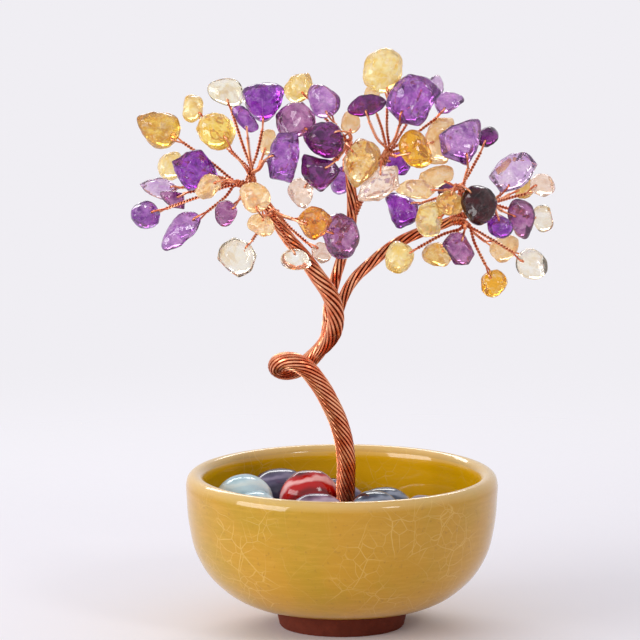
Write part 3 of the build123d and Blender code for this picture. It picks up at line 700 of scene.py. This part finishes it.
# A chip's own frame: along its length, across it and out towards the viewer, rolled and pitched a little
def chipFrame(number, chip):
    across, down, lean, depth = chip[0], chip[1], chip[4], chip[5]
    rise = math.radians(layout["viewRise"])
    up = Vector((0, math.sin(rise), math.cos(rise)))
    near = Vector((0, -math.cos(rise), math.sin(rise)))
    longWay = Vector((1, 0, 0)) * math.cos(math.radians(lean)) + up * math.sin(math.radians(lean))
    roll = math.radians(chips["rollDegrees"] * math.sin(2.1 * number + 1))
    pitch = math.radians(chips["pitchDegrees"] * math.sin(1.3 * number))
    face = (near * math.cos(roll) + longWay.cross(near) * math.sin(roll) + longWay * math.sin(pitch)).normalized()
    sideWay = face.cross(longWay).normalized()
    longWay = sideWay.cross(face)
    place = Matrix((longWay, sideWay, face)).transposed().to_4x4()
    place.translation = seen(across, down, depth)
    return place


# Outline: a superellipse whose broad end faces the hub, bent and made uneven by chance
def chipOutline(chance, chip, start, power, taper, waist):
    length, width = chip[2] * pixel, chip[3] * pixel
    bend = chance.uniform(-chips["bend"], chips["bend"]) * width
    broad = taper if math.cos(start) > 0 else -taper
    corners = []
    for side in range(chips["corners"]):
        angle = start + 2 * math.pi * side / chips["corners"]
        reach = (abs(math.cos(angle) * 2 / length) ** power
                 + abs(math.sin(angle) * 2 / width) ** power) ** (-1 / power)
        if side:
            reach *= 1 + chance.uniform(-chips["wobble"], chips["wobble"])
        spot = Vector((reach * math.cos(angle), reach * math.sin(angle)))
        share = spot.x * 2 / length
        spot.y *= 1 + broad * share - waist * (1 - share ** 2)
        spot.y += bend * share ** 2
        corners.append(spot)
    return corners


# One tumbled chip: a worn prism with corners cut off, softened, dented and drilled
def makeChip(kind, number, chip, hub):
    power, taper, waist, thickness, cuts, crisp = forms[chip[7]]
    place = chipFrame(number, chip)
    towards = place.inverted() @ hub
    start = math.atan2(towards.y, towards.x)
    chance = random.Random(number)
    corners = chipOutline(chance, chip, start, power, taper, waist)
    thick = min(chip[2], chip[3]) * pixel * thickness
    capTilt = chance.uniform(-chips["capTilt"], chips["capTilt"])
    deselectAll()
    bpy.ops.mesh.primitive_cylinder_add(vertices=chips["corners"], radius=1, depth=1)
    stone = bpy.context.object
    bpy.ops.object.mode_set(mode="EDIT")
    selectEdges(stone, lambda one, two: abs(one.z - two.z) > 0.5)
    bpy.ops.mesh.subdivide(number_cuts=2)
    bpy.ops.object.mode_set(mode="OBJECT")
    for vertex in stone.data.vertices:
        level = min(range(4), key=lambda spot: abs((spot - 1.5) / 3 - vertex.co.z))
        turn = math.atan2(vertex.co.y, vertex.co.x) - math.pi / 2
        side = round(turn / (2 * math.pi / chips["corners"])) % chips["corners"]
        corner = corners[side] * chips["girths"][level] * chips["grow"]
        high = thick * chips["levels"][level] * chips["grow"] * (1 + capTilt * corner.x / (chip[2] * pixel / 2))
        vertex.co = (corner.x, corner.y, high)
    bpy.ops.object.mode_set(mode="EDIT")
    for cut in range(cuts):
        turn = start + chips["cutClear"] + chance.uniform(0, 2 * math.pi - 2 * chips["cutClear"])
        tilt = chance.choice((-1, 1)) * chance.uniform(*chips["cutTilts"])
        normal = Vector((math.cos(turn), math.sin(turn), tilt)).normalized()
        reach = max(normal.dot(vertex.co) for vertex in stone.data.vertices) * chance.uniform(*chips["cutDepths"])
        bpy.ops.mesh.select_all(action="SELECT")
        bpy.ops.mesh.bisect(plane_co=normal * reach, plane_no=normal, use_fill=True, clear_outer=True)
    bpy.ops.object.mode_set(mode="OBJECT")
    if crisp:
        bevel = stone.modifiers.new("wear", "BEVEL")
        bevel.width = crisp * thick
        bevel.segments = 1
        bevel.limit_method = "NONE"
    smooth = stone.modifiers.new("tumble", "SUBSURF")
    smooth.levels = smooth.render_levels = 2 if crisp else 3
    applyModifiers(stone)
    local = stone.data.attributes.new("stonePlace", "FLOAT_VECTOR", "POINT")
    half = Vector((chip[2] * pixel / 2, chip[3] * pixel / 2, thick / 2))
    for spot, vertex in enumerate(stone.data.vertices):
        local.data[spot].vector = [vertex.co[axis] / half[axis] for axis in range(3)]
    stone.data.transform(place)
    for texture, (size, depth) in zip(dentTextures[kind], dents[kind]):
        dented = stone.modifiers.new("dents", "DISPLACE")
        dented.texture = texture
        dented.texture_coords = "LOCAL"
        dented.strength = depth * (gemLook["glassyDents"] if chip[6] in gemLook["glassy"] else 1.0)
        dented.mid_level = 0.5
    reach = corners[0].length
    drill = reach * chips["edgeShare"] - chips["drillEdge"]
    toHub = corners[0].normalized()
    bpy.ops.mesh.primitive_cylinder_add(vertices=10, radius=chips["holeRadius"], depth=2 * thick)
    borer = bpy.context.object
    borer.data.transform(place @ Matrix.Translation((toHub.x * drill, toHub.y * drill, 0)))
    hole = stone.modifiers.new("drilling", "BOOLEAN")
    hole.object = borer
    hole.solver = "EXACT"
    applyModifiers(stone)
    bpy.data.objects.remove(borer)
    activate(stone)
    bpy.ops.object.shade_smooth_by_angle(angle=math.radians(50))
    stone.data.materials.clear()
    stone.data.materials.append(gems[chip[6]])
    return stone, place, toHub, reach, drill, thick


# Wire of one chip: a twisted pair from the limb through the hub, and a leg through the drilled hole
def makeTwig(number, root, stem, place, toHub, reach, drill, thick):
    twistReach = reach + chips["wireReach"]
    twistEnd = place @ (toHub * twistReach).to_3d()
    hub = stem[-1]
    lastWay = (hub - (stem[-2] if len(stem) > 1 else root)).normalized()
    side = lastWay.orthogonal().normalized()
    side.rotate(Matrix.Rotation(2.4 * number, 3, lastWay))
    bow = Vector((0, 0, 1)).cross(twistEnd - hub) * twig["bow"] * math.sin(1.9 * number)
    places = [root + side * twig["spread"]] + [spot + side * twig["hubSpread"] for spot in stem]
    places += [(hub + twistEnd) / 2 + bow, twistEnd]
    curve = routeCurve(places)
    length = curve.data.splines[0].calc_length()
    radius = twig["wireRadius"]
    pair = straightStrands(2, radius, radius, length, twig["sides"], twig["ringStep"])
    layOnRoute(pair, curve, length, length / twig["pitch"], 2 * radius, (2 * radius, 2 * radius), *twig["grooveShade"])
    bpy.data.objects.remove(curve)
    high = thick / 2 + chips["standoff"]
    over = ((twistReach, chips["legTuck"]), ((twistReach + drill) / 2, chips["legRise"] * high),
            (drill + chips["legTuck"], high))
    legPlaces = (*over, (drill, 0), *((out, -up) for out, up in reversed(over)))
    leg = routeCurve([place @ Vector((toHub.x * out, toHub.y * out, up)) for out, up in legPlaces])
    leg.data.resolution_u = 5
    leg.data.bevel_depth = radius
    leg.data.bevel_resolution = 1
    leg.data.use_fill_caps = True
    activate(leg)
    bpy.ops.object.convert(target="MESH")
    return [pair, bpy.context.object]


def dentTexture(size):
    texture = bpy.data.textures.new("dents", "CLOUDS")
    texture.noise_scale = size
    texture.noise_depth = 1
    return texture


dentTextures = {kind: [dentTexture(size) for size, depth in layers] for kind, layers in dents.items()}


# Stem of a spray: the wires of its twigs laid up together, ending in a short knot past the hub
def makeStem(root, stem):
    last = stem[-1]
    way = (last - (stem[-2] if len(stem) > 1 else root)).normalized()
    curve = routeCurve([root] + stem[:-1] + [last - way * twig["knot"], last + way * twig["knot"]])
    length = curve.data.splines[0].calc_length()
    outside = twig["stemRadius"]
    radius = strandRadius(outside, twig["stemStrands"])
    strands = straightStrands(twig["stemStrands"], radius, outside - radius, length, twig["sides"],
                              copper["ringStep"])
    layOnRoute(strands, curve, length, length / twig["stemLay"], outside,
               [outside * share for share in twig["stemShares"]], *twig["stemGrooveShade"])
    bpy.data.objects.remove(curve)
    return strands


def makeSpray(name, spray):
    ropePlaces = [seen(*place) for place in ropes[spray["limb"]]["places"]]
    share = spray.get("leaves", 0.97)
    root = Vector([along([place[axis] for place in ropePlaces], share) for axis in range(3)])
    stem = [seen(*place) for place in spray["stem"]]
    number = len(name)
    wires = [makeStem(root, stem)]
    for kind in ("amethyst", "citrine"):
        stones = []
        for chip in spray[kind]:
            number += 1
            stone, *rest = makeChip(kind, number, chip, stem[-1])
            stones.append(stone)
            wires += makeTwig(number, root, stem, *rest)
        group = joinPieces(stones, name.replace("_", "-") + "-" + kind)
        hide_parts(name + "_" + kind)
        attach(group, spray["body"])
    for piece in wires:
        piece.data.materials.clear()
    twigs = joinPieces(wires, name.replace("_", "-") + "-twigs")
    activate(twigs)
    bpy.ops.object.shade_smooth_by_angle(angle=math.radians(60))
    twigs.data.materials.append(copperWire)
    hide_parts(name + "_wires")
    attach(twigs, spray["body"])


for sprayName, sprayValues in sprays.items():
    makeSpray(sprayName, sprayValues)
    print("spray", sprayName)

# Pebbles: finish of each, as stops of a banded stone
pebbleFinishes = {
    "opal": (srgb(200, 226, 232), srgb(158, 196, 208), srgb(224, 240, 238), srgb(140, 180, 190)),
    "greyAgate": (srgb(96, 88, 118), srgb(52, 46, 74), srgb(140, 130, 158), srgb(38, 32, 54)),
    "lilacAgate": (srgb(150, 124, 150), srgb(92, 66, 92), srgb(196, 172, 190), srgb(66, 38, 58)),
    "carnelian": (srgb(196, 6, 6), srgb(120, 2, 4), srgb(250, 186, 182), srgb(72, 0, 4)),
    "blueAgate": (srgb(66, 78, 100), srgb(20, 22, 34), srgb(150, 160, 178), srgb(8, 8, 12)),
    "sand": (srgb(172, 140, 112), srgb(122, 92, 70), srgb(206, 184, 160), srgb(86, 60, 46)),
}
pebbleKinds = {"opal_pale": "opal", "opal_milky": "opal", "opal_small": "opal", "agate_grey": "greyAgate",
               "agate_smoke": "greyAgate", "quartz_grey": "greyAgate", "agate_cloud": "greyAgate",
               "jasper_grey": "greyAgate", "agate_lilac": "lilacAgate", "quartz_lilac": "lilacAgate",
               "quartz_rose": "lilacAgate", "carnelian_banded": "carnelian", "jasper_red": "carnelian",
               "slate_banded": "blueAgate", "agate_blue": "blueAgate", "agate_sand": "sand",
               "jasper_small": "sand"}
# Bands: place in the rings and which of the four colours. Fits: wider, lower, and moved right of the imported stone
pebbles = {"grow": 1.08, "rounding": 0.6, "drift": 0.5, "ringCentre": (0.2, -0.75, -0.62),
           "bands": ((0.0, 1), (0.34, 0), (0.50, 1), (0.58, 0), (0.66, 0), (0.70, 2), (0.74, 2), (0.78, 0),
                     (0.86, 3), (0.94, 1)),
           "fits": {"opal_pale": (1.18, 0.90, -0.4 * mm), "opal_milky": (1.10, 0.84, -0.6 * mm),
                    "carnelian_banded": (1.12, 1.03, 1.3 * mm), "agate_lilac": (1.12, 0.82, 1.0 * mm),
                    "agate_grey": (1.15, 0.74, 0.0), "agate_blue": (1.08, 0.78, 0.4 * mm),
                    "agate_smoke": (1.0, 0.68, 0.0), "quartz_grey": (1.0, 0.68, 0.0),
                    "agate_sand": (1.0, 0.58, 0.0), "agate_cloud": (1.0, 0.58, 0.0),
                    "slate_banded": (1.08, 0.92, 0.0), "jasper_small": (1.0, 0.76, 0.0)}}


def pebbleMaterial(name):
    colours = pebbleFinishes[name]
    material, tree, shader, place = newMaterial(name + "Pebble")
    local = addNode(tree, "Attribute", {"attribute_name": "stonePlace"}).outputs["Vector"]
    drift = addNode(tree, "TexNoise", sockets={"Vector": local, "Scale": 1.3, "Detail": 2.0}).outputs["Color"]
    bent = addNode(tree, "VectorMath", {"operation": "MULTIPLY_ADD"},
                   {0: drift, 1: (pebbles["drift"],) * 3, 2: local}).outputs[0]
    centre = Vector(pebbles["ringCentre"]) + Vector((0.5, 0.5, 0.5)) * pebbles["drift"]
    reach = addNode(tree, "VectorMath", {"operation": "DISTANCE"}, {0: bent, 1: centre}).outputs["Value"]
    colour = addRamp(tree, addMath(tree, "MULTIPLY", reach, 0.5),
                     [(spot, colours[number]) for spot, number in pebbles["bands"]])
    mask, normal = addMottle(tree, place, 300.0, 0.03 * mm)
    colour = addMix(tree, addFade(tree, mask, (0.45, 0), (0.75, 0.4)), colour, colours[0])
    wire(tree, shader, {"Base Color": colour, "Roughness": 0.09, "Normal": normal, "Specular IOR Level": 0.45,
                        "Subsurface Weight": 0.15 if name == "opal" else 0.0,
                        "Subsurface Radius": (0.002, 0.002, 0.002)})
    return material


def makePebbles():
    finishes = {name: pebbleMaterial(name) for name in pebbleFinishes}
    for name, kind in pebbleKinds.items():
        node = "pebble_" + name
        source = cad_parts[node]
        piece = bpy.data.objects.new("pebble-" + name.replace("_", "-"), source.data.copy())
        bpy.context.collection.objects.link(piece)
        low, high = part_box(node)
        centre = (low + high) / 2
        activate(piece)
        bpy.ops.object.mode_set(mode="EDIT")
        bpy.ops.mesh.select_all(action="SELECT")
        bpy.ops.mesh.remove_doubles(threshold=0.01 * mm)
        bpy.ops.mesh.tris_convert_to_quads(face_threshold=math.radians(60), shape_threshold=math.radians(60))
        bpy.ops.object.mode_set(mode="OBJECT")
        half = Vector((high - low) / 2)
        shape = Matrix.Translation(centre) @ Matrix.Diagonal((*half, 1))
        piece.data.transform(shape.inverted())
        smooth = piece.modifiers.new("polish", "SUBSURF")
        smooth.levels = smooth.render_levels = 3
        rounding = piece.modifiers.new("tumbling", "CAST")
        rounding.factor = pebbles["rounding"]
        applyModifiers(piece)
        local = piece.data.attributes.new("stonePlace", "FLOAT_VECTOR", "POINT")
        for spot, vertex in enumerate(piece.data.vertices):
            local.data[spot].vector = vertex.co
        widen, squash, shift = pebbles["fits"].get(name, (1.0, 1.0, 0.0))
        half = Vector((half.x * widen, half.y, half.z * squash)) * pebbles["grow"]
        middle = Vector((centre.x + shift, centre.y, low.z + half.z))
        piece.data.transform(Matrix.Translation(middle) @ Matrix.Diagonal((*half, 1)))
        bpy.ops.object.shade_smooth()
        piece.data.materials.clear()
        piece.data.materials.append(finishes[kind])
        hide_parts(node)
        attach(piece, "base")


makePebbles()
print("pebbles set")


# Setting bed: the imported solid stays, with a plaster finish of its own, painted dark as painted shade for the gaps
# between the pebbles
shadedPlaster = {"dark": srgb(58, 48, 42), "pale": srgb(112, 98, 84), "grain": 700.0, "grainDepth": 0.8 * mm}


def shadedPlasterMaterial():
    material, tree, shader, place = newMaterial("shadedPlasterBed")
    mask, normal = addMottle(tree, place, shadedPlaster["grain"], shadedPlaster["grainDepth"])
    # Painted shade: a dark brown-grey mottle, so the bed shows as shade between the pebbles
    colour = addMix(tree, mask, shadedPlaster["dark"], shadedPlaster["pale"])
    wire(tree, shader, {"Base Color": colour, "Roughness": 0.9, "Normal": normal})
    return material


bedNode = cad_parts["bed"]
bedNode.data.materials.clear()
bedNode.data.materials.append(shadedPlasterMaterial())
print("bed finished")
